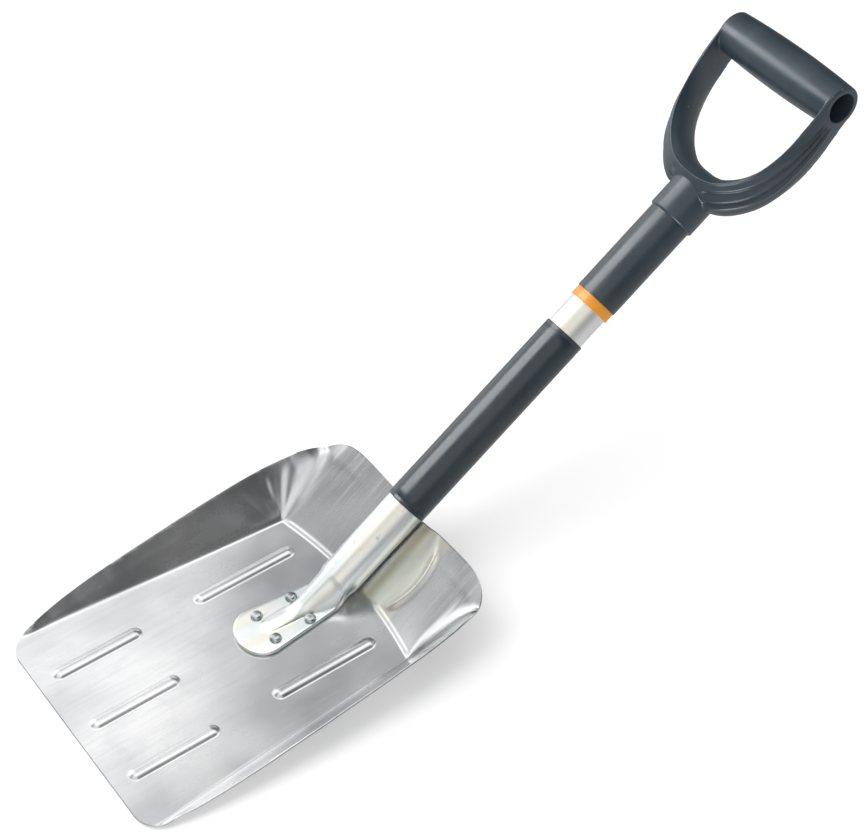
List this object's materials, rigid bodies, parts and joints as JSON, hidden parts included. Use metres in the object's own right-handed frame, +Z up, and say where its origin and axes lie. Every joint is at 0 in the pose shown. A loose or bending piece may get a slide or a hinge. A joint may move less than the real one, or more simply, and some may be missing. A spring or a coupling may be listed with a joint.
{
  "type": "telescopic camp shovel",
  "caption": "Compact telescopic shovel: pressed aluminium scoop riveted to a steel tube, with a twist-locked sliding D handle.",
  "frame": {"origin": "on the flat underside of the scoop's floor, on its centreline, 115 mm behind the front edge", "axes": "+X across the scoop, +Y from the front edge towards the handle, +Z up from the scoop's floor"},
  "size_m": [0.2386, 0.681, 0.321],
  "materials": {
    "aluminium": "bare pressed sheet, satin",
    "zinc_steel": "zinc plated, slightly yellow and blue",
    "rivet_steel": "plated, domed",
    "sleeve_plastic": "satin slate grey",
    "orange_plastic": "satin orange",
    "tube_coating": "satin dark coating",
    "handle_plastic": "fine-grained moulded, satin",
    "screw_steel": "plated",
    "plug_plastic": "moulded",
    "ring_plastic": "natural moulded",
    "lock_steel": "plated"
  },
  "bodies": {
    "shovel": {"blade_pan": "aluminium", "lower_tube": "zinc_steel", "blade_rivet_1": "rivet_steel", "blade_rivet_2": "rivet_steel", "blade_rivet_3": "rivet_steel", "blade_rivet_4": "rivet_steel", "lower_sleeve": "sleeve_plastic", "lock_spindle": "plug_plastic", "lock_washer": "lock_steel", "lock_screw": "lock_steel"},
    "lock": {"lock_ring": "ring_plastic"},
    "handle": {"guide_bush": "orange_plastic", "upper_tube": "tube_coating", "handle_frame": "handle_plastic", "handle_screw": "screw_steel"}
  },
  "joints": [
    {"name": "twist_lock", "type": "hinge", "parent": "shovel", "child": "lock", "pos_m": [0, 0.41883, 0.19738], "axis": [0, 0.8536, 0.521], "range_deg": [-35, 35]},
    {"name": "telescope", "type": "slide", "parent": "lock", "child": "handle", "axis": [0, 0.8536, 0.521], "range_m": [-0.025, 0.04]}
  ]
}
